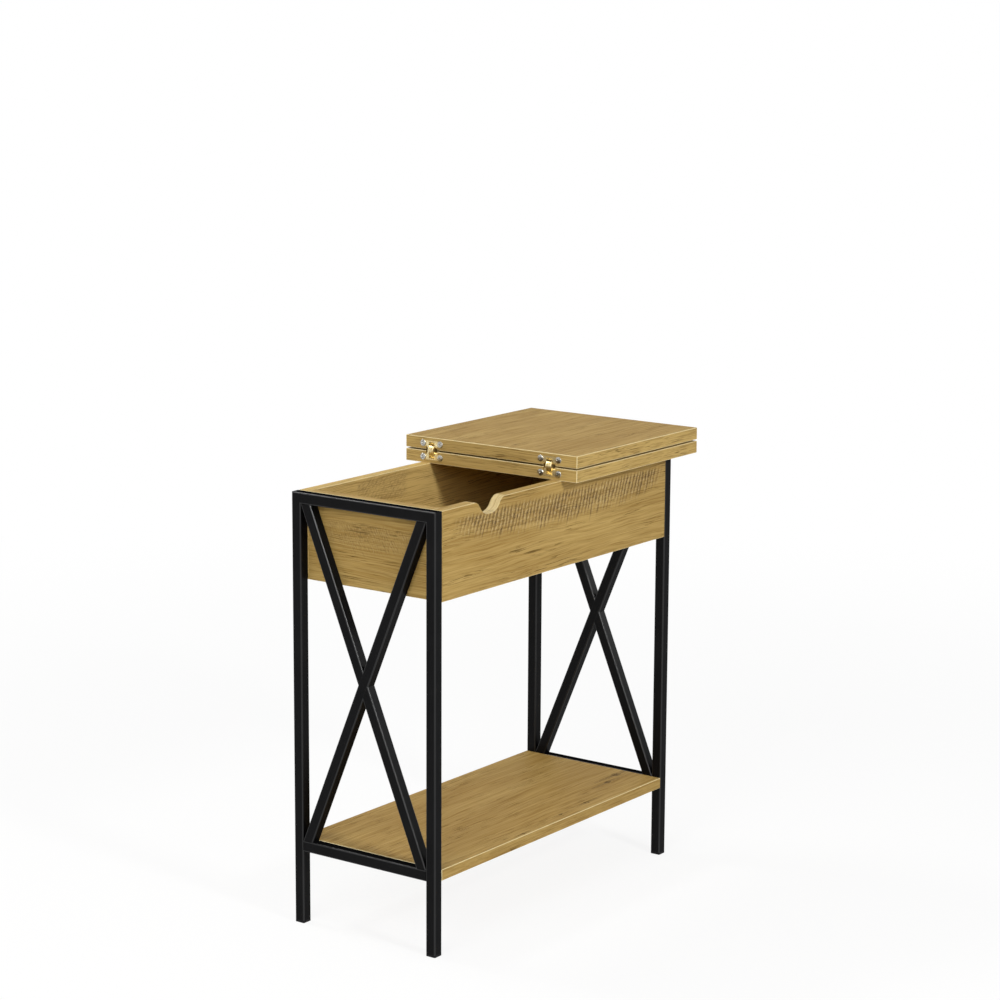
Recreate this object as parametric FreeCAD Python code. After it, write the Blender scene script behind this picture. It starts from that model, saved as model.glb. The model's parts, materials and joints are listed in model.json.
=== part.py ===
import FreeCAD, Part
import math
import os

from FreeCAD import Placement, Rotation, Vector

# Millimetres, +Z up, front at -Y. The leaf that flips lies folded on the fixed one.
cut_overrun = 2.0  # how far every cutting solid reaches past the face it opens

# Table top: two equal leaves that meet at mid length when the top is closed
leaf_length = 300.0
leaf_width = 290.0
leaf_thickness = 17.0
leaf_easing = 0.8  # round on every leaf edge
fold_gap = 2.2  # between the folded leaves
lid_overhang = 26.0  # past the frames, all round the closed top

# End frames of square steel tube
frame_height = 592.5
tube_side = 15.0
tube_wall = 1.2
tube_corner = 1.6  # outer corner radius
lower_rail_rise = 101.5  # underside of the lower rail above the floor

# Plastic plugs in the open lower ends of the legs
plug_flange = 3.0
plug_stem = 18.0
plug_clearance = 0.2

# Storage box between the frames
box_height = 119.0
box_board = 16.0
board_easing = 0.6  # bevel on the edges of the box boards and the shelf
floor_board = 9.0
floor_rise = 10.0  # from the lower edge of the box to the floor board
groove_depth = 6.0
groove_end_clearance = 0.5
groove_top_clearance = 0.3

# Hand and lead notch in the top edge of the front board
notch_depth = 19.0
notch_flat = 4.0
notch_floor_radius = 22.0
notch_shoulder_radius = 15.0
notch_from_end = 102.0  # notch centre from the left end of the front board

shelf_thickness = 15.0

# Link hinges: two pivots per hinge, one in each leaf
hinge_inset = 45.0  # hinge centre from the side of the leaf
pin_radius = 1.2
pin_inset = 3.1  # pivot behind the fold edge of its leaf
pin_rise = 4.6  # pivot from the middle of the fold gap
pin_press_clearance = 0.02
pin_running_clearance = 0.05
link_width = 9.5
link_easing = 0.5  # bevel on the edges of the link
link_end_radius = 3.0
link_crown = 6.5  # outer face of the link from its pivot line, at mid length
link_clearance = 0.2
slot_clearance = 0.4
plate_thickness = 1.6
ear_radius = 3.8  # round end of a plate about its screw
holder_width = 19.0
holder_height = 11.0
holder_wall = 2.0
holder_setback = 0.9  # holder behind the fold edge of its leaf
holder_drop = 1.3  # holder below the meeting face of its leaf
knuckle_radius = 2.2  # round on the holder about its pivot
mortise_clearance = 0.15

# Pan head screws of the hinges and the lid brackets
screw_spacing = 29.5
screw_head_radius = 4.7
screw_crown_radius = 3.2
screw_head_height = 1.2
screw_radius = 1.75
screw_length = 18.0
screw_clearance = 0.05

# Angle brackets that hold the fixed leaf down on the box
bracket_leg = 20.0
bracket_width = 16.0
bracket_sheet = 1.5
bracket_hole_from_bend = 12.0
bracket_from_fold = 110.0
bracket_from_end = 50.0
bracket_screw_length = 10.0

# Cam fittings that tie the boards to threaded inserts in the tubes
insert_radius = 4.0
insert_length = 10.0
insert_flange_radius = 5.0
insert_flange = 0.8
insert_clearance = 0.05
cam_bolt_thread_radius = 3.0
cam_bolt_thread_length = 9.0
cam_bolt_shank_radius = 2.5
cam_bolt_neck_radius = 1.8
cam_bolt_neck_length = 4.0
cam_bolt_head_radius = 3.2
cam_bolt_head_length = 4.5
cam_bolt_bore_radius = 4.0
cam_radius = 7.5
cam_depth = 12.0
cam_setback = 34.0  # cam centre from the end of the board
cam_clearance = 0.1
cam_face_drop = 0.2
cam_way_radius = 3.7
counterbore_clearance = 0.2
box_tie_inset = 35.0  # ties from the upper and lower edges of the box
shelf_tie_offset = 70.0  # ties from the middle of the shelf

# Glued dowels at the corners of the box
dowel_radius = 4.0
dowel_length = 28.0
dowel_in_face = 9.0
dowel_clearance = 0.05
dowel_from_tie = 13.0  # upper dowel above the upper tie; the lower one is at mid height

# Derived places
fold_seam = 2 * (pin_rise - pin_inset)  # between the leaves when the top is closed
frame_length = 2 * leaf_length + fold_seam - 2 * lid_overhang
frame_width = leaf_width - 2 * lid_overhang
frame_x = -lid_overhang / 2  # puts the origin under the middle of the folded table
half_width = frame_width / 2
inner_half_width = half_width - tube_side
inner_left = frame_x - frame_length / 2 + tube_side
inner_right = frame_x + frame_length / 2 - tube_side
fold_edge = frame_x + fold_seam / 2
meeting_face = frame_height + leaf_thickness
fold_middle = meeting_face + fold_gap / 2
pin_x = fold_edge + pin_inset
lower_pin_z = fold_middle - pin_rise
plate_length = screw_spacing + 2 * ear_radius
box_bottom = frame_height - box_height
box_inner_half = half_width - box_board
floor_z = box_bottom + floor_rise
rail_top = lower_rail_rise + tube_side
hinge_places = {"rear": leaf_width / 2 - hinge_inset, "front": hinge_inset - leaf_width / 2}
ends = {"left": -1, "right": 1}
sides = {"front": -1, "rear": 1}

nodes = {}


def block(low, high):
    size = [b - a for a, b in zip(low, high)]
    return Part.makeBox(*size, Vector(*low))


def rod(start, direction, radius, length):
    return Part.makeCylinder(radius, length, Vector(*start), Vector(*direction))


def prism(outline, x_low, x_high):
    points = [Vector(x_low, y, z) for y, z in outline]
    face = Part.Face(Part.makePolygon(points + points[:1]))
    return face.extrude(Vector(x_high - x_low, 0, 0))


def arc(start, middle, end):
    return Part.Arc(start, middle, end).toShape()


def line(start, end):
    return Part.LineSegment(start, end).toShape()


def stadium(y_mid, z_mid, length, height, x_low, depth):
    radius = height / 2
    reach = length / 2 - radius
    upper_left = Vector(x_low, y_mid - reach, z_mid + radius)
    upper_right = Vector(x_low, y_mid + reach, z_mid + radius)
    lower_right = Vector(x_low, y_mid + reach, z_mid - radius)
    lower_left = Vector(x_low, y_mid - reach, z_mid - radius)
    edges = [
        line(upper_left, upper_right),
        arc(upper_right, Vector(x_low, y_mid + reach + radius, z_mid), lower_right),
        line(lower_right, lower_left),
        arc(lower_left, Vector(x_low, y_mid - reach - radius, z_mid), upper_left),
    ]
    return Part.Face(Part.Wire(edges)).extrude(Vector(depth, 0, 0))


def nearest_edge(shape, point):
    return min(shape.Edges, key=lambda edge: edge.distToShape(Part.Vertex(point))[0])


def flipped(shape):
    return shape.mirror(Vector(0, 0, fold_middle), Vector(0, 0, 1))


def square_bar(start, end, side, corner):
    along = end.sub(start)
    bar = Part.makeBox(side, side, along.Length, Vector(-side / 2, -side / 2, 0))
    if corner > 0:
        lengthwise = [edge for edge in bar.Edges if round(edge.tangentAt(edge.FirstParameter).z) != 0]
        bar = bar.makeFillet(corner, lengthwise)
    bar.Placement = Placement(start, Rotation(Vector(0, 0, 1), along))
    return bar


def tube(start, end):
    outer = square_bar(start, end, tube_side, tube_corner)
    return outer.cut(square_bar(start, end, tube_side - 2 * tube_wall, 0))


# Every cam fitting as (end of the table, y, z, board)
def tie_points():
    points = []
    for end in ends.values():
        for name, side in sides.items():
            y = side * (half_width - box_board / 2)
            for z in (box_bottom + box_tie_inset, frame_height - box_tie_inset):
                points.append((end, y, z, name))
        for side in sides.values():
            points.append((end, side * shelf_tie_offset, lower_rail_rise + shelf_thickness / 2, "shelf"))
    return points


def inner_plane(end):
    return inner_left if end < 0 else inner_right


def end_frame(name, end):
    x_mid = inner_plane(end) + end * tube_side / 2
    x_low, x_high = x_mid - tube_side, x_mid + tube_side
    rail_middle = frame_height - tube_side / 2
    under_rail = frame_height - tube_side
    for word, side in sides.items():
        y_mid = side * (half_width - tube_side / 2)
        leg = tube(Vector(x_mid, y_mid, plug_flange), Vector(x_mid, y_mid, frame_height))
        mitred = [
            (side * half_width, 0),
            (side * half_width, frame_height),
            (side * inner_half_width, under_rail),
            (side * inner_half_width, 0),
        ]
        nodes[f"{name}_{word}_leg"] = leg.common(prism(mitred, x_low, x_high))
        nodes[f"{name}_{word}_plug"] = plug(x_mid, y_mid)
    top_rail = tube(Vector(x_mid, -half_width, rail_middle), Vector(x_mid, half_width, rail_middle))
    mitred = [
        (-half_width, frame_height),
        (half_width, frame_height),
        (inner_half_width, under_rail),
        (-inner_half_width, under_rail),
    ]
    nodes[f"{name}_top_rail"] = top_rail.common(prism(mitred, x_low, x_high))
    low_middle = lower_rail_rise + tube_side / 2
    nodes[f"{name}_lower_rail"] = tube(
        Vector(x_mid, -inner_half_width, low_middle), Vector(x_mid, inner_half_width, low_middle)
    )
    cross_brace(name, x_mid, x_low, x_high, under_rail)


def plug(x_mid, y_mid):
    floor = Vector(x_mid, y_mid, 0)
    foot = square_bar(floor, Vector(x_mid, y_mid, plug_flange), tube_side, tube_corner)
    stem_side = tube_side - 2 * tube_wall - 2 * plug_clearance
    stem = square_bar(floor, Vector(x_mid, y_mid, plug_flange + plug_stem), stem_side, 0)
    return foot.fuse(stem).removeSplitter()


# One brace runs through and the other is cut in two against it
def cross_brace(name, x_mid, x_low, x_high, under_rail):
    window = prism(
        [
            (-inner_half_width, rail_top),
            (inner_half_width, rail_top),
            (inner_half_width, under_rail),
            (-inner_half_width, under_rail),
        ],
        x_low,
        x_high,
    )

    # Each brace leans so that its outer edges run into the corners of the window
    width, height = 2 * inner_half_width, under_rail - rail_top
    lean = math.acos(tube_side / math.hypot(width, height)) - math.atan2(height, width)
    foot = math.tan(lean) * height / 2

    def reach(side):
        low = Vector(x_mid, -side * foot, rail_top)
        high = Vector(x_mid, side * foot, under_rail)
        extra = high.sub(low).normalize().multiply(tube_side)
        return low.sub(extra), high.add(extra)

    through = reach(sides["front"])
    crossing = reach(sides["rear"])
    nodes[f"{name}_long_brace"] = tube(*through).common(window)
    halves = tube(*crossing).common(window).cut(square_bar(*through, tube_side, tube_corner)).Solids
    halves.sort(key=lambda solid: solid.CenterOfMass.z)
    nodes[f"{name}_lower_half_brace"] = halves[0]
    nodes[f"{name}_upper_half_brace"] = halves[-1]


# The notch as a solid: round shoulders that run into a round floor
def notch():
    swing = math.acos(1 - notch_depth / (notch_floor_radius + notch_shoulder_radius))
    middle = inner_left + notch_from_end
    y = -half_width - cut_overrun
    floor = frame_height - notch_depth
    floor_axis = floor + notch_floor_radius
    shoulder_axis = frame_height - notch_shoulder_radius
    shoulder_reach = notch_flat / 2 + (notch_floor_radius + notch_shoulder_radius) * math.sin(swing)

    def on_floor(hand, turn):
        x = middle + hand * (notch_flat / 2 + notch_floor_radius * math.sin(turn))
        return Vector(x, y, floor_axis - notch_floor_radius * math.cos(turn))

    def on_shoulder(hand, turn):
        x = middle + hand * (shoulder_reach - notch_shoulder_radius * math.sin(turn))
        return Vector(x, y, shoulder_axis + notch_shoulder_radius * math.cos(turn))

    edges = [line(on_floor(-1, 0), on_floor(1, 0))]
    for hand in (1, -1):
        edges.append(arc(on_floor(hand, 0), on_floor(hand, swing / 2), on_floor(hand, swing)))
        edges.append(arc(on_floor(hand, swing), on_shoulder(hand, swing / 2), on_shoulder(hand, 0)))
    rim = [on_shoulder(1, 0), on_shoulder(-1, 0)]
    above = [point + Vector(0, 0, cut_overrun) for point in rim]
    edges += [line(rim[0], above[0]), line(above[0], above[1]), line(above[1], rim[1])]
    outline = Part.Wire(Part.__sortEdges__(edges))
    return Part.Face(outline).extrude(Vector(0, box_board + 2 * cut_overrun, 0))


def floor_solid(side_clearance, top_clearance):
    reach = groove_depth - side_clearance
    return block(
        (inner_left + box_board - reach, -box_inner_half - reach, floor_z),
        (inner_right - box_board + reach, box_inner_half + reach, floor_z + floor_board + top_clearance),
    )


def dowels(clearance):
    solids = []
    upper = frame_height - box_tie_inset + dowel_from_tie
    middle = box_bottom + box_height / 2
    for end in ends.values():
        x = inner_plane(end) - end * box_board / 2
        for side in sides.values():
            start = side * (box_inner_half + dowel_in_face + clearance)
            for z in (upper, middle):
                length = dowel_length + 2 * clearance
                solids.append(rod((x, start, z), (0, -side, 0), dowel_radius + clearance, length))
    return solids


def storage_box():
    front = block((inner_left, -half_width, box_bottom), (inner_right, -box_inner_half, frame_height))
    back = block((inner_left, box_inner_half, box_bottom), (inner_right, half_width, frame_height))
    boards = {"front_panel": front.cut(notch()), "back_panel": back}
    for name, end in ends.items():
        x_low, x_high = sorted([inner_plane(end), inner_plane(end) - end * box_board])
        boards[f"{name}_end_panel"] = block(
            (x_low, -box_inner_half, box_bottom),
            (x_high, box_inner_half, frame_height),
        )
    groove = floor_solid(0, groove_top_clearance)
    for name, board in boards.items():
        eased = board.makeChamfer(board_easing, board.Edges)
        nodes[name] = eased.cut([groove] + dowels(dowel_clearance))
    nodes["bottom_panel"] = floor_solid(groove_end_clearance, 0)
    nodes["corner_dowels"] = Part.makeCompound(dowels(0))
    shelf = block(
        (inner_left, -half_width, lower_rail_rise),
        (inner_right, half_width, lower_rail_rise + shelf_thickness),
    )
    nodes["shelf"] = shelf.makeChamfer(board_easing, shelf.Edges)


# A rod along X from start to stop, counted from the tube's face into the board
def tie_rod(tie, start, stop, radius):
    end, y, z, board = tie
    return rod((inner_plane(end) - end * start, y, z), (-end, 0, 0), radius, stop - start)


# A cam's cylinder from start to stop, counted from the board's hidden face inwards
def cam_rod(tie, start, stop, radius):
    end, y, z, board = tie
    x = inner_plane(end) - end * cam_setback
    if board == "shelf":
        return rod((x, y, lower_rail_rise + start), (0, 0, 1), radius, stop - start)
    side = sides[board]
    return rod((x, side * (box_inner_half + start), z), (0, side, 0), radius, stop - start)


def threaded_insert(tie):
    body = tie_rod(tie, -insert_length, insert_flange, insert_radius)
    flange = tie_rod(tie, 0, insert_flange, insert_flange_radius)
    thread_radius = cam_bolt_thread_radius + insert_clearance
    thread_way = tie_rod(tie, -insert_length - cut_overrun, insert_flange + cut_overrun, thread_radius)
    return body.fuse(flange).removeSplitter().cut(thread_way)


def cam_bolt(tie):
    head_start = cam_setback - cam_bolt_head_length
    neck_start = head_start - cam_bolt_neck_length
    bolt = tie_rod(tie, -cam_bolt_thread_length, insert_flange, cam_bolt_thread_radius)
    bolt = bolt.fuse(tie_rod(tie, insert_flange, neck_start, cam_bolt_shank_radius))
    bolt = bolt.fuse(tie_rod(tie, neck_start, head_start, cam_bolt_neck_radius))
    return bolt.fuse(tie_rod(tie, head_start, cam_setback, cam_bolt_head_radius))


def cam_lock(tie):
    way = tie_rod(tie, 0, cam_setback + cam_clearance, cam_way_radius)
    return cam_rod(tie, cam_face_drop, cam_face_drop + cam_depth, cam_radius).cut(way)


# The holes that a fitting needs in its board
def board_holes(tie):
    flange_recess = insert_flange + counterbore_clearance
    return [
        cam_rod(tie, -cut_overrun, cam_face_drop + cam_depth, cam_radius + cam_clearance),
        tie_rod(tie, -cut_overrun, cam_setback, cam_bolt_bore_radius),
        tie_rod(tie, -cut_overrun, flange_recess, insert_flange_radius + counterbore_clearance),
    ]


# Threaded inserts in the tubes, and cam bolts and cams in the boards that they tie
def cam_fittings():
    boards = {"front": "front_panel", "rear": "back_panel", "shelf": "shelf"}
    makers = {"threaded_inserts": threaded_insert, "cam_bolts": cam_bolt, "cam_locks": cam_lock}
    groups = {}
    for tie in tie_points():
        end, y, z, board = tie
        end_word = "left" if end < 0 else "right"
        tube_node = f"{end_word}_lower_rail" if board == "shelf" else f"{end_word}_{board}_leg"
        insert_hole = tie_rod(tie, -insert_length, cut_overrun, insert_radius + insert_clearance)
        nodes[tube_node] = nodes[tube_node].cut(insert_hole)
        nodes[boards[board]] = nodes[boards[board]].cut(board_holes(tie))
        group = "shelf" if board == "shelf" else "box"
        for word, maker in makers.items():
            groups.setdefault(f"{group}_{word}", []).append(maker(tie))
    for node, solids in groups.items():
        nodes[node] = Part.makeCompound(solids)


def pan_screw(seat, direction, length):
    shank = rod(seat, direction, screw_radius, length)
    back = Vector(*direction) * -1
    head = Part.makeCone(screw_head_radius, screw_crown_radius, screw_head_height, Vector(*seat), back)
    return shank.fuse(head)


def screw_places(y_mid):
    z = meeting_face - leaf_thickness / 2
    return [(fold_edge, y_mid + hand * screw_spacing / 2, z) for hand in (-1, 1)]


# The middle of a hinge plate, or the mortise that takes it when grown
def holder_block(y_mid, grow):
    depth = pin_inset + link_end_radius + slot_clearance + holder_wall
    top = meeting_face - holder_drop if grow == 0 else meeting_face + cut_overrun
    front = fold_edge + holder_setback if grow == 0 else fold_edge - cut_overrun
    return block(
        (front, y_mid - holder_width / 2 - grow, meeting_face - holder_drop - holder_height - grow),
        (fold_edge + depth + grow, y_mid + holder_width / 2 + grow, top),
    )


def hinge_plate(y_mid):
    z_mid = meeting_face - leaf_thickness / 2
    plate = stadium(y_mid, z_mid, plate_length, 2 * ear_radius, fold_edge, plate_thickness)
    slot_half = link_width / 2 + link_clearance
    slot_floor = lower_pin_z - link_crown - slot_clearance
    slot_back = pin_x + link_end_radius + slot_clearance
    slot = block(
        (fold_edge - cut_overrun, y_mid - slot_half, slot_floor),
        (slot_back, y_mid + slot_half, meeting_face + cut_overrun),
    )
    pin_start = (pin_x, y_mid - holder_width, lower_pin_z)
    pin_hole = rod(pin_start, (0, 1, 0), pin_radius + pin_press_clearance, 2 * holder_width)
    holder = holder_block(y_mid, 0)
    knuckle = nearest_edge(holder, Vector(fold_edge + holder_setback, y_mid, meeting_face - holder_drop))
    holder = holder.makeFillet(knuckle_radius, [knuckle])
    plate = plate.fuse(holder).removeSplitter().cut([slot, pin_hole])
    hole_length = plate_thickness + 2 * cut_overrun
    for x, y, z in screw_places(y_mid):
        start = (x - cut_overrun, y, z)
        plate = plate.cut(rod(start, (1, 0, 0), screw_radius + screw_clearance, hole_length))
    return plate


def hinge_mortise(y_mid):
    z_mid = meeting_face - leaf_thickness / 2
    long = plate_length + 2 * mortise_clearance
    high = 2 * (ear_radius + mortise_clearance)
    recess = stadium(y_mid, z_mid, long, high, fold_edge - cut_overrun, plate_thickness + cut_overrun)
    cuts = [recess, holder_block(y_mid, mortise_clearance)]
    for seat in screw_places(y_mid):
        cuts.append(rod(seat, (1, 0, 0), screw_radius + screw_clearance, screw_length + screw_clearance))
    return cuts


# A link about the two pivots, whose outer side is one crown that runs into its round ends
def hinge_link(y_mid):
    y = y_mid - link_width / 2
    bulge = link_crown - link_end_radius
    crown_setback = (pin_rise * pin_rise - bulge * bulge) / (2 * bulge)
    crown_axis = Vector(pin_x + crown_setback, y, fold_middle)
    crown_top = Vector(pin_x - link_crown, y, fold_middle)
    inward = Vector(1, 0, 0)
    pivots = [Vector(pin_x, y, fold_middle - pin_rise), Vector(pin_x, y, fold_middle + pin_rise)]
    starts, stops, edges = [], [], []
    for pivot in pivots:
        outward = pivot.sub(crown_axis).normalize()
        between = outward.add(inward).normalize()
        starts.append(pivot + outward * link_end_radius)
        stops.append(pivot + inward * link_end_radius)
        edges.append(arc(starts[-1], pivot + between * link_end_radius, stops[-1]))
    edges += [line(*stops), arc(starts[0], crown_top, starts[1])]
    outline = Part.Wire(Part.__sortEdges__(edges))
    link = Part.Face(outline).extrude(Vector(0, link_width, 0))
    rims = [nearest_edge(link, crown_top + Vector(0, reach, 0)) for reach in (0, link_width)]
    link = link.makeChamfer(link_easing, rims)
    hole_radius = pin_radius + pin_running_clearance
    for pivot in pivots:
        start = pivot - Vector(0, cut_overrun, 0)
        link = link.cut(rod(start, (0, 1, 0), hole_radius, link_width + 2 * cut_overrun))
    return link


def table_top():
    leaf = block(
        (fold_edge, -leaf_width / 2, frame_height),
        (fold_edge + leaf_length, leaf_width / 2, meeting_face),
    )
    leaf = leaf.makeFillet(leaf_easing, leaf.Edges)
    screws, pins = [], []
    for word, y_mid in hinge_places.items():
        leaf = leaf.cut(hinge_mortise(y_mid))
        plate = hinge_plate(y_mid)
        nodes[f"{word}_fixed_hinge_plate"] = plate
        nodes[f"{word}_flip_hinge_plate"] = flipped(plate)
        nodes[f"{word}_hinge_link"] = hinge_link(y_mid)
        pins.append(rod((pin_x, y_mid - holder_width / 2, lower_pin_z), (0, 1, 0), pin_radius, holder_width))
        screws += [pan_screw(seat, (1, 0, 0), screw_length) for seat in screw_places(y_mid)]
    nodes["fixed_leaf"] = leaf
    nodes["flip_leaf"] = flipped(leaf)
    nodes["fixed_hinge_pins"] = Part.makeCompound(pins)
    nodes["flip_hinge_pins"] = Part.makeCompound([flipped(pin) for pin in pins])
    nodes["fixed_hinge_screws"] = Part.makeCompound(screws)
    nodes["flip_hinge_screws"] = Part.makeCompound([flipped(screw) for screw in screws])


# Angle brackets in the corner between the box boards and the fixed leaf
def lid_brackets():
    brackets, screws = [], []
    for board, side in (("front_panel", sides["front"]), ("back_panel", sides["rear"])):
        face = side * box_inner_half
        for x in (fold_edge + bracket_from_fold, inner_right - bracket_from_end):
            x_low, x_high = x - bracket_width / 2, x + bracket_width / 2
            inner, thin = face - side * bracket_leg, face - side * bracket_sheet
            profile = [
                (face, frame_height),
                (inner, frame_height),
                (inner, frame_height - bracket_sheet),
                (thin, frame_height - bracket_sheet),
                (thin, frame_height - bracket_leg),
                (face, frame_height - bracket_leg),
            ]
            bracket = prism(profile, x_low, x_high)
            board_seat = (x, thin, frame_height - bracket_hole_from_bend)
            leaf_seat = (x, face - side * bracket_hole_from_bend, frame_height - bracket_sheet)
            hole_radius = screw_radius + screw_clearance
            hole_length = bracket_screw_length + screw_clearance
            board_hole = rod(board_seat, (0, side, 0), hole_radius, hole_length)
            leaf_hole = rod(leaf_seat, (0, 0, 1), hole_radius, hole_length)
            brackets.append(bracket.cut([board_hole, leaf_hole]))
            nodes[board] = nodes[board].cut(board_hole)
            nodes["fixed_leaf"] = nodes["fixed_leaf"].cut(leaf_hole)
            screws.append(pan_screw(board_seat, (0, side, 0), bracket_screw_length))
            screws.append(pan_screw(leaf_seat, (0, 0, 1), bracket_screw_length))
    nodes["lid_brackets"] = Part.makeCompound(brackets)
    nodes["lid_bracket_screws"] = Part.makeCompound(screws)


for end_name, end_sign in ends.items():
    end_frame(end_name, end_sign)
storage_box()
cam_fittings()
table_top()
lid_brackets()

os.makedirs("parts", exist_ok=True)
for node, shape in nodes.items():
    shape.exportStep(f"parts/{node}.step")
    print(node, len(shape.Solids), "solids,", "valid" if shape.isValid() else "NOT VALID")
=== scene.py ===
import json
import math

import bmesh
import bpy
from mathutils import Matrix, Vector


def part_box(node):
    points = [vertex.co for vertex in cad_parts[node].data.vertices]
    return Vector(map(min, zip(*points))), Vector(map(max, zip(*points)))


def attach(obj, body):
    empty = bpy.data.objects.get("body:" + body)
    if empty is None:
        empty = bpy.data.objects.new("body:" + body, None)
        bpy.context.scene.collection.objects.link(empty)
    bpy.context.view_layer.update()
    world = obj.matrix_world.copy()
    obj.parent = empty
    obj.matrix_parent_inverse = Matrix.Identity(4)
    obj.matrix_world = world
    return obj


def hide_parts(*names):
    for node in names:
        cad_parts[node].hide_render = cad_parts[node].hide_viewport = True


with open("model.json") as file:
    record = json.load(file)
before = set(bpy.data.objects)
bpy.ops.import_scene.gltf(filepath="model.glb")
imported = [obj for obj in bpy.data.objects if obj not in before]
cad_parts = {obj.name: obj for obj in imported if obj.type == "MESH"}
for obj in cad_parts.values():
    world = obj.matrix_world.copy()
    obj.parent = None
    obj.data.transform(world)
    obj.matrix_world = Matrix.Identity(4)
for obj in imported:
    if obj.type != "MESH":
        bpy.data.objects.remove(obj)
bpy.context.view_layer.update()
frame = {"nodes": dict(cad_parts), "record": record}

nodes = frame["nodes"]
scene = bpy.context.scene
scene.view_settings.view_transform = "Standard"
perMetre = 1000  # millimetres
print("loaded", len(nodes), "nodes")


class Sock:
    def __init__(self, tree, out=None):
        self.tree = tree
        self.out = out

    def node(self, kind, settings=None, inputs=None, take=0):
        made = self.tree.nodes.new(kind)
        for key, value in (settings or {}).items():
            setattr(made, key, value)
        for key, value in (inputs or {}).items():
            if isinstance(value, Sock):
                self.tree.links.new(value.out, made.inputs[key])
            else:
                made.inputs[key].default_value = value
        return Sock(self.tree, made.outputs[take])

    def math(self, operation, first, second=0.0):
        return self.node("ShaderNodeMath", {"operation": operation}, {0: first, 1: second})

    def __add__(self, other):
        return self.math("ADD", self, other)

    def __sub__(self, other):
        return self.math("SUBTRACT", self, other)

    def __rsub__(self, other):
        return self.math("SUBTRACT", other, self)

    def __mul__(self, other):
        return self.math("MULTIPLY", self, other)

    def __truediv__(self, other):
        return self.math("DIVIDE", self, other)

    def __pow__(self, other):
        return self.math("POWER", self, other)

    def __gt__(self, other):
        return self.math("GREATER_THAN", self, other)

    def __abs__(self):
        return self.math("ABSOLUTE", self)

    __radd__ = __add__
    __rmul__ = __mul__

    def least(self, other):
        return self.math("MINIMUM", self, other)

    def most(self, other):
        return self.math("MAXIMUM", self, other)

    def ease(self, low, high):  # 0 below low, 1 above high, soft between
        inputs = {"Value": self, "From Min": low, "From Max": high}
        return self.node("ShaderNodeMapRange", {"interpolation_type": "SMOOTHSTEP"}, inputs)

    def blend(self, share, low, high):  # colours only
        return self.node("ShaderNodeMix", {"data_type": "RGBA"}, {0: share, 6: low, 7: high}, take=2)

    def blendTo(self, other, share):
        return self.blend(share, self, other)

    def noise(self, point, detail=2.0, rough=0.5):
        place = self.node("ShaderNodeCombineXYZ", {}, dict(enumerate(point)))
        inputs = {"Vector": place, "Scale": 1.0, "Detail": detail, "Roughness": rough}
        return self.node("ShaderNodeTexNoise", {"noise_dimensions": "3D"}, inputs)


def linear(red, green, blue):  # 0 to 255 as seen, to what a colour socket holds
    parts = [value / 255 for value in (red, green, blue)]
    return tuple(v / 12.92 if v < 0.04045 else ((v + 0.055) / 1.055) ** 2.4 for v in parts) + (1.0,)


def startFinish(name, **constants):
    finish = bpy.data.materials.new(name)
    finish.use_nodes = True
    tree = finish.node_tree
    shader = next(n for n in tree.nodes if n.type == "BSDF_PRINCIPLED")
    for key, value in constants.items():
        shader.inputs[key].default_value = value
    tool = Sock(tree)
    place = tool.node("ShaderNodeTexCoord", take=3)  # object coordinates, metres
    apart = [tool.node("ShaderNodeSeparateXYZ", {}, {0: place}, take=i) for i in range(3)]
    return finish, shader, tool, [axis * perMetre for axis in apart]


def feed(tool, shader, socket, value):
    tool.tree.links.new(value.out, shader.inputs[socket])


def bumpInto(tool, shader, height, strength, depth):
    normal = tool.node("ShaderNodeBump", {}, {"Strength": strength, "Distance": depth, "Height": height})
    feed(tool, shader, "Normal", normal)


def evenNoise(tool, axes, size, detail, rough):  # as large along each axis
    return tool.noise([axis / size for axis in axes], detail, rough)


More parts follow.
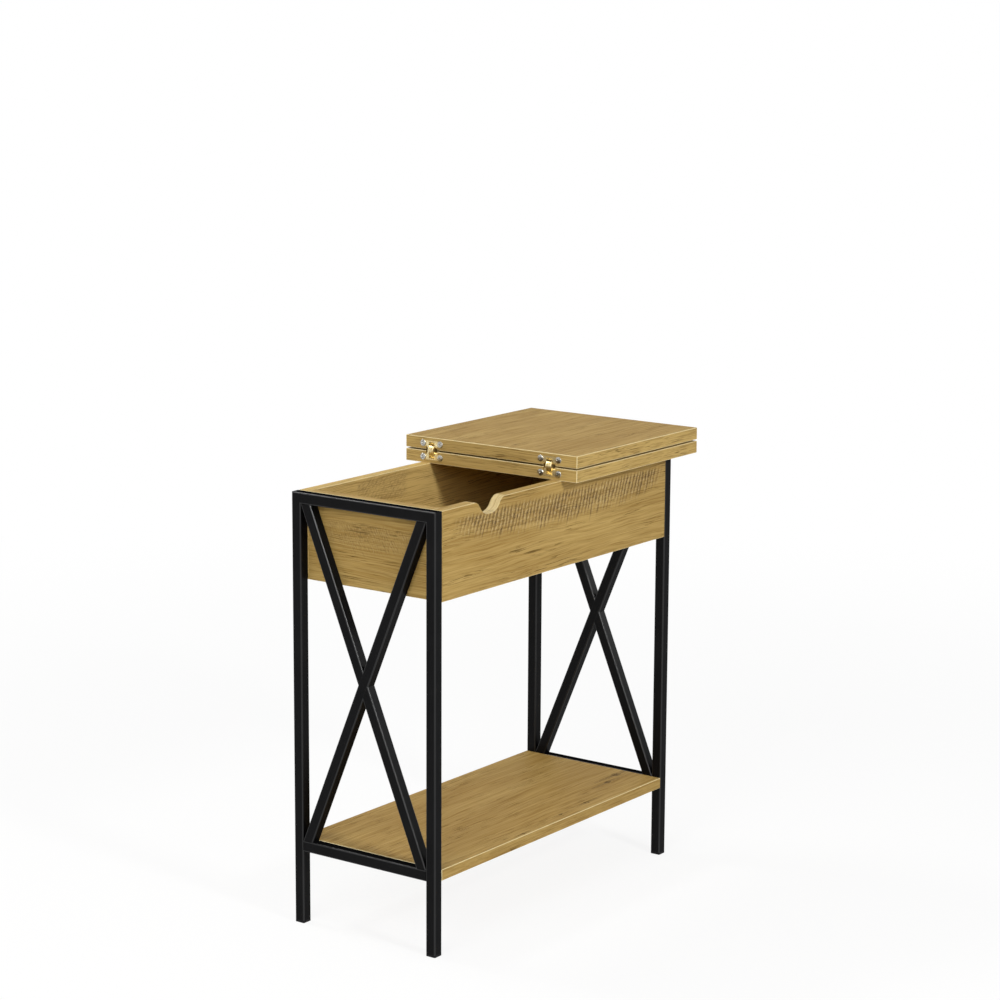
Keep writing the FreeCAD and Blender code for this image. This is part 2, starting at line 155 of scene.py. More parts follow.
oakLook = {  # laminate, lengths in millimetres
    "pale": linear(186, 157, 95),
    "golden": linear(158, 127, 69),
    "fibre": linear(116, 86, 42),
    "pore": linear(74, 52, 24),
    "sawn": linear(94, 74, 52),
    # edge is the pale colour of the painted highlight along board edges and on the notch cut; it is also the
    # pale wood between saw marks
    "edge": linear(232, 216, 168),
    "knot": linear(58, 38, 16),
    "fibreShare": 0.42,
    "poreShare": 0.7,
    "edgeWidth": 0.9,
    # strength of the painted highlight line along board edges
    "paintedHighlightLine": 0.72,
    "edgeFrom": 1.2,
    "edgeFull": 1.9,
    "shine": 0.06,
    "roughness": 0.55,
    "fibreRough": 0.1,
    "poreRough": 0.12,
    "fibreDepth": 0.25,
    "poreDepth": 0.6,
    "bump": 0.25,
    "bumpDepth": 0.0002,
    "tapeSeed": 19,
}
boards = {  # run is the axis of the grain; each board has its own grain and saw marks
    "front_panel": {
        "run": 0, "seed": 11, "notch": True,
        "saw": {"start": -256, "stop": 250, "low": 537, "high": 578, "sag": 22,
                "pitch": 7.8, "comb": 0.34, "lean": 0.34, "weight": 0.95},
    },
    # the back panel is painted paler (lift and pale) to stand in for the light on its inner face
    "back_panel": {
        "run": 0, "seed": 47, "lift": 0.6, "pale": linear(202, 172, 107),
        "saw": {"start": -175, "stop": -60, "low": 548, "high": 590, "sag": 10,
                "pitch": 9.0, "comb": 0.08, "lean": 1.1, "weight": 0.6},
    },
    "left_end_panel": {
        "run": 1, "seed": 83,
        "saw": {"start": -84, "stop": 76, "low": 522, "high": 560, "sag": 12,
                "pitch": 4.0, "comb": 0.08, "lean": 0.5, "weight": 0.55},
    },
    "right_end_panel": {"run": 1, "seed": 120},
    "bottom_panel": {"run": 0, "seed": 155},
    # the shelf is painted darker (lift) to stand in for shade on it; line gives a stronger painted highlight
    # along its edges
    "shelf": {
        "run": 0, "seed": 190, "lift": -0.2, "line": 0.95,
        "knots": [(223, -58, 12), (184, -70, 9), (85, -101, 8), (-85, -114, 5), (17, -104, 5)],
    },
    # line gives a stronger painted highlight along the leaves' edges
    "fixed_leaf": {"run": 0, "seed": 231, "lift": -0.15, "edgeLift": 0.6, "line": 0.95},
    "flip_leaf": {"run": 0, "seed": 268, "lift": -0.15, "edgeLift": 0.6, "line": 0.95},
}
grainLook = {  # millimetres along and across the grain
    "sway": {"long": 170, "wide": 40, "detail": 2.0, "rough": 0.5, "reach": 14},
    "ripple": {"long": 26, "wide": 9, "detail": 1.0, "rough": 0.5, "reach": 1.5},
    "broad": {"long": 240, "wide": 42, "detail": 2.0, "rough": 0.5, "edges": (0.3, 0.7), "share": 0.4},
    "streak": {"long": 150, "wide": 3.4, "detail": 3.0, "rough": 0.6, "edges": (0.34, 0.68), "share": 0.6},
    "fibre": {"long": 75, "wide": 1.3, "detail": 2.0, "rough": 0.55, "edges": (0.48, 0.64)},
    "dash": {"long": 34, "wide": 1.05, "detail": 1.0, "rough": 0.5, "edges": (0.6, 0.64)},
    "where": {"long": 110, "wide": 18, "detail": 2.0, "rough": 0.5, "edges": (0.44, 0.64)},
}


def grainLayer(tool, kind, along, across, deep, seed):
    look = grainLook[kind]
    point = (along / look["long"] + seed, across / look["wide"], deep / look["wide"])
    layer = tool.noise(point, look["detail"], look["rough"])
    if "reach" in look:  # how far the grain is pushed aside
        return (layer - 0.5) * look["reach"]
    return layer.ease(*look["edges"])


def grain(tool, along, across, deep, seed):
    sway = grainLayer(tool, "sway", along, across, deep, seed)
    ripple = grainLayer(tool, "ripple", along, across, deep, -seed)
    bent = across + sway + ripple
    broad = grainLayer(tool, "broad", along, across, deep, -seed)
    streak = grainLayer(tool, "streak", along, bent, deep, seed)
    fibre = grainLayer(tool, "fibre", along, bent, deep, seed)
    dash = grainLayer(tool, "dash", along, bent, deep, -seed)
    where = grainLayer(tool, "where", along, across, deep, seed)
    tone = broad * grainLook["broad"]["share"] + streak * grainLook["streak"]["share"]
    return tone, fibre, dash * where


sawLook = {  # lengths in millimetres
    "wanderLong": 30,
    "wanderWide": 60,
    "wanderReach": 10,
    "raggedLong": 4.5,
    "raggedRow": 0.3,
    "raggedReach": 50,
    "raggedAbove": 0.25,
    "lowerFade": (-6, 12),
    "upperFade": (-3, 6),
    "endFade": (0.84, 1.0),
    "toothLong": 2.2,
    "toothWide": 4.5,
    "strokeEdges": (-0.05, 0.19),
    "bareEdges": (-0.23, -0.09),
    "veilLong": 34,
    "veilWide": 12,
    "veilEdges": (0.3, 0.62),
    "stain": 0.15,
    "bareShare": 0.34,
}


def sawMarks(tool, along, across, saw, seed):  # dark strokes, and the pale wood between them
    look = sawLook
    middle = (saw["start"] + saw["stop"]) / 2
    half = (saw["stop"] - saw["start"]) / 2
    share = (along - middle) / half
    drift = tool.noise((along / look["wanderLong"] + seed, across / look["wanderWide"], seed), 2.0, 0.6)
    leant = along - across * saw["lean"] + (drift - 0.5) * look["wanderReach"]
    fray = tool.noise((leant / look["raggedLong"] + seed, look["raggedRow"], seed), 2.0, 0.6)
    ragged = (fray - 0.5) * look["raggedReach"]
    low = share * share * saw["sag"] + saw["low"]
    above = (across - low + ragged).ease(*look["lowerFade"])
    below = (saw["high"] - across + ragged * look["raggedAbove"]).ease(*look["upperFade"])
    inside = above * below * (1 - abs(share).ease(*look["endFade"])) * saw["weight"]
    beat = tool.math("SINE", leant * (2 * math.pi / saw["pitch"])) * 0.5 + 0.5
    broken = tool.noise((leant / look["toothLong"] - seed, across / look["toothWide"], seed), 3.0, 0.65)
    cut = beat * saw["comb"] + broken
    mean = saw["comb"] / 2 + 0.5
    strokes = cut.ease(*[mean + edge for edge in look["strokeEdges"]])
    bare = 1 - cut.ease(*[mean + edge for edge in look["bareEdges"]])
    veil = tool.noise((along / look["veilLong"] + seed, across / look["veilWide"], seed), 2.0, 0.5)
    veil = veil.ease(*look["veilEdges"]) * 0.5 + 0.5
    strokes = strokes * (1 - look["stain"]) + look["stain"]
    return inside * strokes * veil, inside * bare * look["bareShare"]


def nearFaces(axes, low, high, width):  # 1 within the width of a board's two faces, per axis
    middles = [(a + b) / 2 * perMetre for a, b in zip(low, high)]
    halves = [(b - a) / 2 * perMetre for a, b in zip(low, high)]
    return [abs(axis - middle).ease(half - width, half - width * 0.5)
            for axis, middle, half in zip(axes, middles, halves)]


# the pale rim and cut of the notch are a painted highlight; the darker layers are the board's own
notchLook = {"fromEnd": 102, "depth": 19, "flat": 4, "floorRadius": 22, "shoulderRadius": 15,
             "line": 0.5, "lineCore": 0.6, "rim": 0.7, "layerDark": 0.4,
             "layerWide": 1.8, "layerLong": 40, "layerRow": 0.5, "layerEdges": (0.4, 0.65)}


def onRound(aside, rise, radius):  # on the surface of a round
    away = abs((aside ** 2 + rise ** 2) ** 0.5 - radius)
    return 1 - away.ease(notchLook["line"] * notchLook["lineCore"], notchLook["line"])


def notchRim(x, z):  # where the painted highlight goes: on the round cut of the notch and the line of its rim
    look = notchLook
    low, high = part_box("front_panel")
    reach = look["floorRadius"] + look["shoulderRadius"]
    swing = math.acos(1 - look["depth"] / reach)
    top = high.z * perMetre
    floor = top - look["depth"]
    span = reach * math.sin(swing)
    aside = abs(x - (low.x * perMetre + look["fromEnd"])) - look["flat"] / 2
    onFloor = onRound(aside.most(0.0), z - floor - look["floorRadius"], look["floorRadius"])
    onShoulder = onRound(aside - span, z - top + look["shoulderRadius"], look["shoulderRadius"])
    upper = z > floor + look["floorRadius"] * (1 - math.cos(swing))
    within = 1 - (aside > span)
    return (onFloor + (onShoulder - onFloor) * upper) * within


def notchLine(tool, axes):  # painted highlight on the rim and the cut, with the real layers of the board on the cut
    look = notchLook
    point = (axes[1] / look["layerWide"], axes[0] / look["layerLong"], look["layerRow"])
    layers = tool.noise(point, 2.0, 0.6).ease(*look["layerEdges"])
    return notchRim(axes[0], axes[2]) * (look["rim"] - layers * look["layerDark"])


knotLook = {"share": 0.85, "speckLong": 3.2, "speckWide": 1.8, "speckEdges": (0.38, 0.52),
            "wide": 0.6, "core": 0.2, "tailLong": 6, "tailWide": 0.5, "tail": 0.5}


def knotSpot(along, across, speck, knot):  # a dark speckled core with a tail along the grain
    look = knotLook
    x, y, size = knot
    aside, over = along - x, across - y
    core = (aside / size) ** 2 + (over / (size * look["wide"])) ** 2
    tail = (aside / (size * look["tailLong"])) ** 2 + (over / (size * look["tailWide"])) ** 2
    return (1 - core.ease(look["core"], 1.0)).most((1 - tail.ease(0.0, 1.0)) * look["tail"]) * speck


def oakFinish(name, board):
    look = oakLook
    finish, shader, tool, axes = startFinish("oak_" + name, **{"Specular IOR Level": look["shine"]})
    run = board["run"]
    along, across, deep = axes[run], axes[1 - run], axes[2]
    upright = name.endswith("panel") and name != "bottom_panel"
    if upright:  # the wide faces of the box boards stand up
        across, deep = axes[2], axes[1 - run]
    main = grain(tool, along, across, deep, board["seed"])
    tape = grain(tool, axes[1 - run], axes[2], along, board["seed"] + look["tapeSeed"])  # ends of the run
    near = nearFaces(axes, *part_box(name), look["edgeWidth"])
    tone, fibre, pore = [inner + (outer - inner) * near[run] for inner, outer in zip(main, tape)]
    tone = tone - board.get("lift", 0.0) - near[0].most(near[1]) * board.get("edgeLift", 0.0)
    base = tool.blend(tone, board.get("pale", look["pale"]), look["golden"])
    base = base.blendTo(look["fibre"], fibre * look["fibreShare"])
    base = base.blendTo(look["pore"], pore * look["poreShare"])
    dark = pore * look["poreDepth"] + fibre * look["fibreDepth"]
    if "saw" in board:
        strokes, bare = sawMarks(tool, along, across, board["saw"], board["seed"])
        base = base.blendTo(look["edge"], bare).blendTo(look["sawn"], strokes)
        dark = dark + strokes
    if "knots" in board:
        point = (along / knotLook["speckLong"], across / knotLook["speckWide"], deep / knotLook["speckWide"])
        speck = tool.noise(point, 2.0, 0.6).ease(*knotLook["speckEdges"])
        for knot in board["knots"]:
            spot = knotSpot(along, across, speck, knot)
            base = base.blendTo(look["knot"], spot * knotLook["share"])
            dark = dark + spot
    # painted highlight: a pale line where two faces of a board meet
    corner = (near[0] + near[1] + near[2]).ease(look["edgeFrom"], look["edgeFull"])
    if upright:  # only the level edges have the painted highlight line
        corner = corner * near[2]
    if board.get("notch"):
        corner = corner.most(notchLine(tool, axes))
    base = base.blendTo(look["edge"], corner * board.get("line", look["paintedHighlightLine"]))
    feed(tool, shader, "Base Color", base)
    feed(tool, shader, "Roughness", fibre * look["fibreRough"] + pore * look["poreRough"] + look["roughness"])
    bumpInto(tool, shader, 1 - dark.least(1.0), look["bump"], look["bumpDepth"])
    return finish


tubeLook = {  # matt faces with glossier round corners, lengths in millimetres
    "side": 15,
    "frameMiddle": -13,
    "frameHalf": 268,
    "low": linear(10, 10, 11),
    "high": linear(18, 18, 19),
    "peel": 0.9,
    "cloud": 40,
    "cornerFrom": 2.0,
    "cornerFull": 1.3,
    "face": 0.12,
    "faceCloud": 0.04,
    "corner": 0.6,
    "coatRoughness": 0.3,
    "roughness": 0.5,
    "cloudRough": 0.08,
    "peelRough": 0.05,
    "topFrom": 1.0,
    "topFull": 0.4,
    "bump": 0.12,
    "bumpDepth": 0.0001,
}


def powderCoat(kind, crossing, top=None):  # crossing gives the way from the tube's middle, across its run
    look = tubeLook
    finish, shader, tool, axes = startFinish(
        "black_powder_coat_" + kind, **{"Specular IOR Level": 0.0, "Coat Roughness": look["coatRoughness"]})
    x, y, z = axes
    peel = evenNoise(tool, axes, look["peel"], 2.0, 0.5)
    cloud = evenNoise(tool, axes, look["cloud"], 3.0, 0.5)
    half = look["side"] / 2
    ends = (half - look["cornerFrom"], half - look["cornerFull"])
    sideways = abs(abs(x - look["frameMiddle"]) - look["frameHalf"])
    corner = sideways.ease(*ends) * abs(crossing(y, z)).ease(*ends)
    gloss = cloud * look["faceCloud"] + look["face"]
    if top is not None:  # upper face of a rail
        gloss = gloss * (1 - z.ease(top - look["topFrom"], top - look["topFull"]))
    feed(tool, shader, "Base Color", tool.blend(cloud, look["low"], look["high"]))
    feed(tool, shader, "Coat Weight", gloss + corner * look["corner"])
    rough = cloud * look["cloudRough"] + peel * look["peelRough"] + look["roughness"]
    feed(tool, shader, "Roughness", rough)
    bumpInto(tool, shader, peel, look["bump"], look["bumpDepth"])
    return finish


plasticLook = {"low": linear(18, 18, 18), "high": linear(40, 40, 40), "shine": 0.12, "stipple": 0.5,
               "scuffWide": 6, "scuffHigh": 3, "scuffEdges": (0.5, 0.8), "roughness": 0.5,
               "stippleRough": 0.15, "bump": 0.2, "bumpDepth": 0.0001}


def mouldedPlastic():
    look = plasticLook
    finish, shader, tool, axes = startFinish("black_plastic", **{"Specular IOR Level": look["shine"]})
    x, y, z = axes
    stipple = evenNoise(tool, axes, look["stipple"], 2.0, 0.6)
    point = (x / look["scuffWide"], y / look["scuffWide"], z / look["scuffHigh"])
    scuff = tool.noise(point, 3.0, 0.6).ease(*look["scuffEdges"])
    feed(tool, shader, "Base Color", tool.blend(scuff, look["low"], look["high"]))
    feed(tool, shader, "Roughness", stipple * look["stippleRough"] + look["roughness"])
    bumpInto(tool, shader, stipple, look["bump"], look["bumpDepth"])
    return finish


metalLook = {"cloudEdges": (0.35, 0.7), "rubLong": 3, "rubWide": 0.3, "cloudRough": 0.12,
             "rubRough": 0.08, "bump": 0.08, "bumpDepth": 0.00005}


def metalFinish(name, bright, dull, polish, cloudSize):
    look = metalLook
    finish, shader, tool, axes = startFinish(name, **{"Metallic": 1.0})
    x, y, z = axes
    cloud = evenNoise(tool, axes, cloudSize, 3.0, 0.6).ease(*look["cloudEdges"])
    rub = tool.noise((x / look["rubWide"], y / look["rubLong"], z / look["rubWide"]), 2.0, 0.5)
    feed(tool, shader, "Base Color", tool.blend(cloud, bright, dull))
    feed(tool, shader, "Roughness", cloud * look["cloudRough"] + rub * look["rubRough"] + polish)
    bumpInto(tool, shader, rub, look["bump"], look["bumpDepth"])
    return finish


def dress(name, finish):
    nodes[name].data.materials.clear()
    nodes[name].data.materials.append(finish)


finishes = {
    "black_plastic": mouldedPlastic(),
    "brass": metalFinish("polished_brass", linear(235, 219, 170), linear(196, 174, 120), 0.26, 2.0),
    "bright_steel": metalFinish("nickel_plate", linear(204, 202, 194), linear(118, 116, 108), 0.14, 1.2),
    "zinc_steel": metalFinish("zinc_plate", linear(198, 202, 206), linear(160, 165, 172), 0.34, 3.0),
    # darker plate painted on recesses and rims of screws and cams as shade
    "shaded_steel": metalFinish("painted_shade_plate", linear(74, 72, 68), linear(40, 38, 35), 0.4, 1.0),
    "beech": oakFinish("corner_dowels", {"run": 1, "seed": 300}),
}
braceLook = {"rise": 461.0, "shift": 191.7, "middle": 347.0}
braceLean = math.atan2(braceLook["shift"], braceLook["rise"])
railLook = {"legMiddle": 111.5, "topMiddle": 585, "topFace": 592.5, "lowerMiddle": 109, "lowerFace": 116.5}


def acrossBrace(hand):
    side, rise = math.cos(braceLean), hand * math.sin(braceLean)
    return lambda y, z: y * side + (z - braceLook["middle"]) * rise


tubes = {
    "leg": powderCoat("legs", lambda y, z: abs(y) - railLook["legMiddle"]),
    "top_rail": powderCoat("top_rails", lambda y, z: z - railLook["topMiddle"], railLook["topFace"]),
    "lower_rail": powderCoat("lower_rails", lambda y, z: z - railLook["lowerMiddle"], railLook["lowerFace"]),
    "long_brace": powderCoat("long_braces", acrossBrace(1)),
    "half_brace": powderCoat("half_braces", acrossBrace(-1)),
}
for part in frame["record"]["subparts"]:
    nodeName = part["node"]
    kind = next((word for word in tubes if nodeName.endswith(word)), None)
    if nodeName in boards:
        dress(nodeName, oakFinish(nodeName, boards[nodeName]))
    elif kind:
        dress(nodeName, tubes[kind])
    else:
        dress(nodeName, finishes[part["material_slot"]])
print("finishes on all nodes")


def pickFaces(piece, test):
    bpy.ops.mesh.select_mode(type="FACE")
    mesh = bmesh.from_edit_mesh(piece.data)
    for face in mesh.faces:
        face.select_set(test(face))
    mesh.select_flush_mode()
    bmesh.update_edit_mesh(piece.data)


def pickEdges(piece, test):
    bpy.ops.mesh.select_mode(type="EDGE")
    bpy.ops.mesh.select_all(action="DESELECT")
    mesh = bmesh.from_edit_mesh(piece.data)
    for edge in mesh.edges:
        edge.select_set(test(edge))
    bmesh.update_edit_mesh(piece.data)


def looksUp(face):
    return face.normal.z > 0.9


def looksDown(face):
    return face.normal.z < -0.9


def roundBar(sides, radius, length, middle):
    bpy.ops.object.select_all(action="DESELECT")
    bpy.ops.mesh.primitive_cylinder_add(vertices=sides, radius=radius, depth=length, location=middle)
    bpy.ops.object.transform_apply(location=True)
    return bpy.context.active_object


def cutWith(piece, cutter):
    bpy.ops.object.select_all(action="DESELECT")
    piece.select_set(True)
    bpy.context.view_layer.objects.active = piece
    cut = piece.modifiers.new("cut", "BOOLEAN")
    cut.operation = "DIFFERENCE"
    cut.solver = "EXACT"
    cut.object = cutter
    bpy.ops.object.modifier_apply(modifier=cut.name)
    bpy.data.objects.remove(cutter)


recessLook = {"taper": 0.55, "steep": 0.5, "sunk": 0.0006, "within": 0.7, "rimFrom": 0.97}


def cutCross(piece, top, look):  # driver recess in the middle of the top
    taper = recessLook["taper"]
    cutters = []
    for turn in (0, math.pi / 2):
        bpy.ops.object.select_all(action="DESELECT")
        bpy.ops.mesh.primitive_cube_add(size=1, location=(0, 0, top), rotation=(0, 0, turn))
        blade = bpy.context.active_object
        blade.scale = (look["recessLong"], look["recessWide"], look["recessDepth"] * 2)
        bpy.ops.object.transform_apply(location=True, rotation=True, scale=True)
        bpy.ops.object.mode_set(mode="EDIT")
        pickFaces(blade, looksDown)
        bpy.ops.transform.resize(value=(taper, taper, 1), center_override=(0, 0, top))
        bpy.ops.object.mode_set(mode="OBJECT")
        cutters.append(blade)
    for blade in cutters:
        cutWith(piece, blade)


def shadeFaces(piece, top, radius):  # painted shade: the recess floor and walls, and the rim, take the darker plate
    look = recessLook
    for face in piece.data.polygons:
        away = face.center.to_2d().length
        sunk = face.normal.z < look["steep"] or face.center.z < top - look["sunk"]
        inRecess = away < radius * look["within"] and sunk
        onRim = away > radius * look["rimFrom"]
        face.material_index = 1 if inRecess or onRim else 0


screwLook = {"headRadius": 0.0047, "headHeight": 0.0012, "crown": 0.0004, "rimRound": 0.0006,
             "shankRadius": 0.00175, "tipInset": 0.6,
             "sides": 40, "rimSteps": 5, "rings": (0.8, 0.6, 0.4, 0.2),
             "recessLong": 0.0054, "recessWide": 0.0013, "recessDepth": 0.0008}


def domeTop(crown, radius, rings):  # raises the picked flat face, ring by ring
    depth = (radius ** 2 - crown ** 2) / (2 * crown)  # from the flat down to the middle of the dome
    ring, rise = radius, 0.0
    for share in rings:
        above = math.sqrt(depth ** 2 + radius ** 2 - (radius * share) ** 2) - depth
        bpy.ops.mesh.inset(thickness=ring - radius * share)
        bpy.ops.transform.translate(value=(0, 0, above - rise))
        ring, rise = radius * share, above


def panScrew(name, length):  # head up +Z from the seat at z = 0, shank down
    look = screwLook
    radius, shank = look["headRadius"], look["shankRadius"]
    rim = look["headHeight"] - look["crown"]
    screw = roundBar(look["sides"], radius, rim, (0, 0, rim / 2))
    screw.name = name
    bpy.ops.object.mode_set(mode="EDIT")
    pickFaces(screw, looksUp)
    bpy.ops.mesh.bevel(offset=look["rimRound"], segments=look["rimSteps"], profile=0.5, affect="EDGES")
    pickFaces(screw, lambda face: face.normal.z > 0.999)
    domeTop(look["crown"], radius - look["rimRound"], look["rings"])
    pickFaces(screw, looksDown)
    bpy.ops.mesh.inset(thickness=radius - shank)
    bpy.ops.mesh.extrude_region_move(TRANSFORM_OT_translate={"value": (0, 0, shank - length)})
    bpy.ops.mesh.inset(thickness=shank * look["tipInset"])
    bpy.ops.transform.translate(value=(0, 0, -shank))
    bpy.ops.object.mode_set(mode="OBJECT")
    cutCross(screw, look["headHeight"], look)
    shadeFaces(screw, look["headHeight"], radius)
    return screw


smoothUnder = math.radians(35)


def setOut(model, name, body, replaced, slotName, places):  # copies of one model, turned and joined
    model.data.materials.clear()
    model.data.materials.append(finishes[slotName])
    # second slot for the painted shade on recesses and rims
    if any(face.material_index for face in model.data.polygons):
        model.data.materials.append(finishes["shaded_steel"])
    made = []
    for spot, facing, turn in places:
        copy = model.copy()
        copy.data = model.data.copy()
        scene.collection.objects.link(copy)
        aim = Vector(facing).to_track_quat("Z", "Y").to_matrix().to_4x4()
        copy.data.transform(Matrix.Translation(spot) @ aim @ Matrix.Rotation(turn, 4, "Z"))
        made.append(copy)
    bpy.ops.object.select_all(action="DESELECT")
    for copy in made:
        copy.select_set(True)
    bpy.context.view_layer.objects.active = made[0]
    bpy.ops.object.join()
    piece = bpy.context.active_object
    piece.name = name
    bpy.ops.object.shade_smooth_by_angle(angle=smoothUnder)
    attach(piece, body)
    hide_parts(replaced)


hingeScrews = {"length": 0.018, "spacing": 0.0295, "turns": (0.3, 1.1, 0.75, 0.05)}


def hingeScrewPlaces(node):
    low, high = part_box(node)
    outer = high.y - screwLook["headRadius"]
    inner = outer - hingeScrews["spacing"]
    seat = low.x + screwLook["headHeight"]
    spots = [(seat, y, (low.z + high.z) / 2) for y in (outer, inner, -inner, -outer)]
    return [(spot, (-1, 0, 0), turn) for spot, turn in zip(spots, hingeScrews["turns"])]


screwModel = panScrew("screw_model", hingeScrews["length"])
for leaf, body in (("fixed", "table"), ("flip", "flipping_leaf")):
    held = leaf + "_hinge_screws"
    setOut(screwModel, leaf + "_leaf_screws", body, held, "bright_steel", hingeScrewPlaces(held))
bpy.data.objects.remove(screwModel)
print("hinge screws set")


linkLook = {"crown": 0.0065, "crownRadius": 0.007773, "flat": 0.003, "pivotRise": 0.0046,
            "leaf": 0.0027, "slit": 0.0007, "core": 0.85, "endRound": 0.0026, "endSteps": 8,
            "rim": 0.0004, "rimSteps": 2, "hole": 0.00125, "sides": 72, "holeSides": 32, "near": 0.00001}


def hingeLink():  # three leaves along Z, crown toward +X, pivots at x = 0
    look = linkLook
    width = look["leaf"] * 3 + look["slit"] * 2
    middle = (look["crown"] - look["crownRadius"], 0, (look["leaf"] - width) / 2)
    link = roundBar(look["sides"], look["crownRadius"], look["leaf"], middle)

    def acrossFlat(edge):  # the flat's two edges along the pivots
        first, second = edge.verts
        onFlat = all(abs(vert.co.x + look["flat"]) < look["near"] for vert in edge.verts)
        return onFlat and abs(first.co.z - second.co.z) > look["slit"]

    bpy.ops.object.mode_set(mode="EDIT")
    bpy.ops.mesh.select_all(action="SELECT")
    flat = (-look["flat"], 0, 0)
    bpy.ops.mesh.bisect(plane_co=flat, plane_no=(-1, 0, 0), use_fill=True, clear_outer=True)
    pickEdges(link, acrossFlat)
    bpy.ops.mesh.bevel(offset=look["endRound"], segments=look["endSteps"], affect="EDGES")
    pickFaces(link, looksUp)
    for step in (look["slit"], look["leaf"]) * 2:  # slit, leaf, slit, leaf
        size = look["core"] if step == look["slit"] else 1 / look["core"]
        bpy.ops.mesh.extrude_region_move(TRANSFORM_OT_translate={"value": (0, 0, 0)})
        bpy.ops.transform.resize(value=(size, size, 1), center_override=(0, 0, 0))
        bpy.ops.mesh.extrude_region_move(TRANSFORM_OT_translate={"value": (0, 0, step)})
    pickFaces(link, lambda face: abs(face.calc_center_median().z) > width / 2 - look["near"])
    bpy.ops.mesh.bevel(offset=look["rim"], segments=look["rimSteps"], affect="EDGES")
    bpy.ops.object.mode_set(mode="OBJECT")
    for rise in (look["pivotRise"], -look["pivotRise"]):
        cutWith(link, roundBar(look["holeSides"], look["hole"], width * 2, (0, rise, 0)))
    return link


linkModel = hingeLink()
for place in ("rear", "front"):
    low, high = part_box(place + "_hinge_link")
    spot = (low.x + linkLook["crown"], (low.y + high.y) / 2, (low.z + high.z) / 2)
    setOut(linkModel, place + "_leaved_link", "hinge_links", place + "_hinge_link", "brass",
           [(spot, (0, 1, 0), 0)])
bpy.data.objects.remove(linkModel)
print("hinge links set")


bracketScrews = {"length": 0.010, "sheet": 0.0015, "fromBend": 0.012, "width": 0.016,
                 "boardTurn": 40, "leafTurn": 70}


def bracketScrewPlaces():
    look = bracketScrews
    low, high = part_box("lid_brackets")
    half = look["width"] / 2
    places = []
    for side, face in ((-1, low.y), (1, high.y)):
        for x in (low.x + half, high.x - half):
            boardSeat = (x, face - side * look["sheet"], high.z - look["fromBend"])
            leafSeat = (x, face - side * look["fromBend"], high.z - look["sheet"])
            places.append((boardSeat, (0, -side, 0), x * look["boardTurn"]))
            places.append((leafSeat, (0, 0, -1), x * look["leafTurn"]))
    return places


shortScrew = panScrew("short_screw_model", bracketScrews["length"])
setOut(shortScrew, "bracket_screws", "table", "lid_bracket_screws", "zinc_steel", bracketScrewPlaces())
bpy.data.objects.remove(shortScrew)
print("bracket screws set")


camLook = {"radius": 0.0075, "depth": 0.012, "rim": 0.0003, "rimSteps": 2, "ring": 0.0012, "ringSlope": 0.3,
           "sink": 0.0004, "sides": 48, "recessLong": 0.0075, "recessWide": 0.0016, "recessDepth": 0.0022,
           "turns": (9, 5, 7)}


def camLock():  # face up at z = 0
    look = camLook
    cam = roundBar(look["sides"], look["radius"], look["depth"], (0, 0, -look["depth"] / 2))
    bpy.ops.object.mode_set(mode="EDIT")
    pickFaces(cam, looksUp)
    bpy.ops.mesh.bevel(offset=look["rim"], segments=look["rimSteps"], affect="EDGES")
    pickFaces(cam, looksUp)
    bpy.ops.mesh.inset(thickness=look["ring"])
    bpy.ops.mesh.inset(thickness=look["ring"] * look["ringSlope"])
    bpy.ops.transform.translate(value=(0, 0, -look["sink"]))
    bpy.ops.object.mode_set(mode="OBJECT")
    cutCross(cam, -look["sink"], look)
    shadeFaces(cam, -look["sink"], look["radius"])
    return cam


def camPlaces(node, onShelf):
    low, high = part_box(node)
    radius, depth = camLook["radius"], camLook["depth"]
    xTurn, yTurn, zTurn = camLook["turns"]
    xs = (low.x + radius, high.x - radius)
    if onShelf:
        ys = (low.y + radius, high.y - radius)
        return [((x, y, low.z), (0, 0, -1), x * xTurn + y * yTurn) for x in xs for y in ys]
    faces = ((low.y + depth, 1), (high.y - depth, -1))
    zs = (low.z + radius, high.z - radius)
    return [((x, y, z), (0, facing, 0), x * xTurn + z * zTurn) for x in xs for y, facing in faces for z in zs]


camModel = camLock()
setOut(camModel, "box_cams", "table", "box_cam_locks", "zinc_steel", camPlaces("box_cam_locks", False))
setOut(camModel, "shelf_cams", "table", "shelf_cam_locks", "zinc_steel", camPlaces("shelf_cam_locks", True))
bpy.data.objects.remove(camModel)
print("cams set")


def seenDirectly(tool):  # by the camera, in a gloss or through glass
    rays = [tool.node("ShaderNodeLightPath", take=i) for i in (0, 3, 6)]
    return rays[0].most(rays[1]).most(rays[2])


floorLook = {"reach": 60, "white": linear(250, 250, 249), "speck": linear(225, 225, 224), "speckShare": 0.02,
             "speckSize": 30, "roughness": 0.9, "shade": 0.88, "fadeFrom": 0.8, "fadeTo": 2.6}


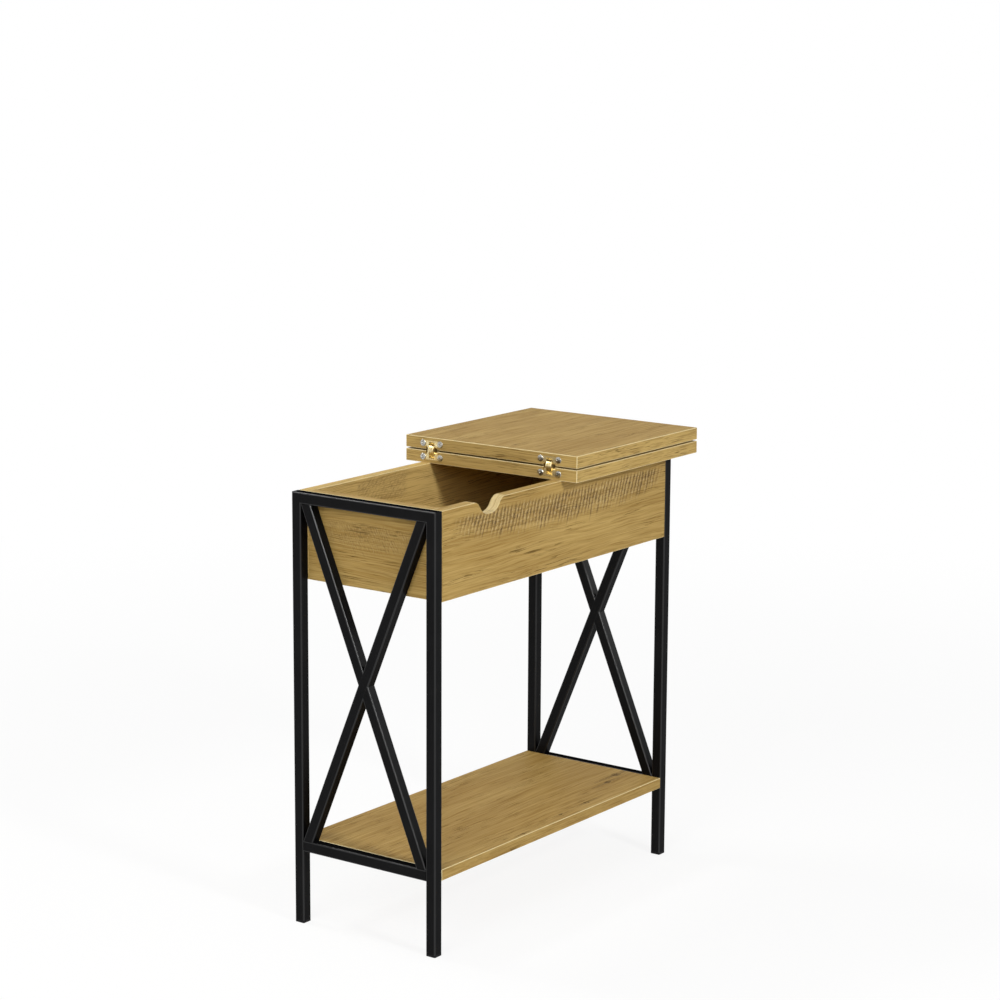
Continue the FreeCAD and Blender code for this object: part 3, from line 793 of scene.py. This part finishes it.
def studioFloor():
    look = floorLook
    bpy.ops.object.select_all(action="DESELECT")
    bpy.ops.mesh.primitive_plane_add(size=look["reach"] * 2)
    floor = bpy.context.active_object
    floor.name = "studio_floor"
    finish, shader, tool, (x, y, z) = startFinish(
        "floor_white", **{"Roughness": look["roughness"], "Specular IOR Level": 0.0})
    speck = tool.noise((x / look["speckSize"], y / look["speckSize"], z), 3.0, 0.5) * look["speckShare"]
    feed(tool, shader, "Base Color", tool.blend(speck, look["white"], look["speck"]))
    glow = tool.node("ShaderNodeEmission", {}, {"Color": (1, 1, 1, 1), "Strength": 1.0})
    away = (x * x + y * y) ** 0.5 / perMetre
    share = away.ease(look["fadeFrom"], look["fadeTo"]) * (1 - look["shade"]) + look["shade"]
    surface = Sock(tool.tree, shader.outputs[0])
    mix = tool.node("ShaderNodeMixShader", {}, {0: seenDirectly(tool) * share, 1: surface, 2: glow})
    out = next(n for n in tool.tree.nodes if n.type == "OUTPUT_MATERIAL")
    feed(tool, out, "Surface", mix)
    floor.data.materials.append(finish)


studioFloor()

worldLook = {"light": 0.3}
world = bpy.data.worlds.new("studio")
scene.world = world
world.use_nodes = True
worldTool = Sock(world.node_tree)
background = next(n for n in world.node_tree.nodes if n.type == "BACKGROUND")
background.inputs["Color"].default_value = (1, 1, 1, 1)
shown = seenDirectly(worldTool)
feed(worldTool, background, "Strength", shown * (1 - worldLook["light"]) + worldLook["light"])

lamps = {
    "key": {"spot": (-0.76, -3.12, 2.14), "aim": (0, 0, 0.5), "size": 0.45, "power": 62},
    "side": {"spot": (-2.7, -0.4, 2.2), "aim": (0, 0, 0.4), "size": 1.5, "power": 43},
    "back": {"spot": (-0.3, 2.1, 3.0), "aim": (0, 0, 0.55), "size": 0.7, "power": 40},
    "corner": {"spot": (-2.16, -2.48, 1.82), "aim": (0, 0, 0.45), "size": 1.0, "power": 66,
               "glossOnly": True},
    "right": {"spot": (3.2, -2.1, 1.45), "aim": (0, 0, 0.35), "size": 0.9, "power": 14,
              "glossOnly": True},
}
for lampName, lamp in lamps.items():
    data = bpy.data.lights.new(lampName, "AREA")
    data.shape = "SQUARE"
    data.size = lamp["size"]
    data.energy = lamp["power"]
    holder = bpy.data.objects.new(lampName, data)
    scene.collection.objects.link(holder)
    holder.visible_diffuse = not lamp.get("glossOnly", False)
    holder.location = lamp["spot"]
    beam = Vector(lamp["aim"]) - Vector(lamp["spot"])
    holder.rotation_euler = beam.to_track_quat("-Z", "Y").to_euler()
print("floor and lamps set")

cameraLook = {"azimuth": -53.83, "elevation": 10.97, "roll": 0.30, "lens": 100.207, "distance": 3.86183,
              "from": (-0.013, 0.0, 0.3), "right": 0.01534, "up": 0.24818, "sensor": 36}


def photoCamera():
    look = cameraLook
    turn, tilt, roll = (math.radians(look[key]) for key in ("azimuth", "elevation", "roll"))
    back = Vector((math.sin(turn) * math.cos(tilt), -math.cos(turn) * math.cos(tilt), math.sin(tilt)))
    right = Vector((math.cos(turn), math.sin(turn), 0))
    up = back.cross(right)
    target = Vector(look["from"]) + right * look["right"] + up * look["up"]
    sideways = right * math.cos(roll) + up * math.sin(roll)
    upwards = up * math.cos(roll) - right * math.sin(roll)
    data = bpy.data.cameras.new("camera")
    data.sensor_width = look["sensor"]
    data.lens = look["lens"]
    holder = bpy.data.objects.new("camera", data)
    scene.collection.objects.link(holder)
    axes = Matrix((sideways, upwards, back)).transposed().to_4x4()
    holder.matrix_world = Matrix.Translation(target + back * look["distance"]) @ axes
    scene.camera = holder


photoCamera()
bpy.context.view_layer.update()
print("camera set")
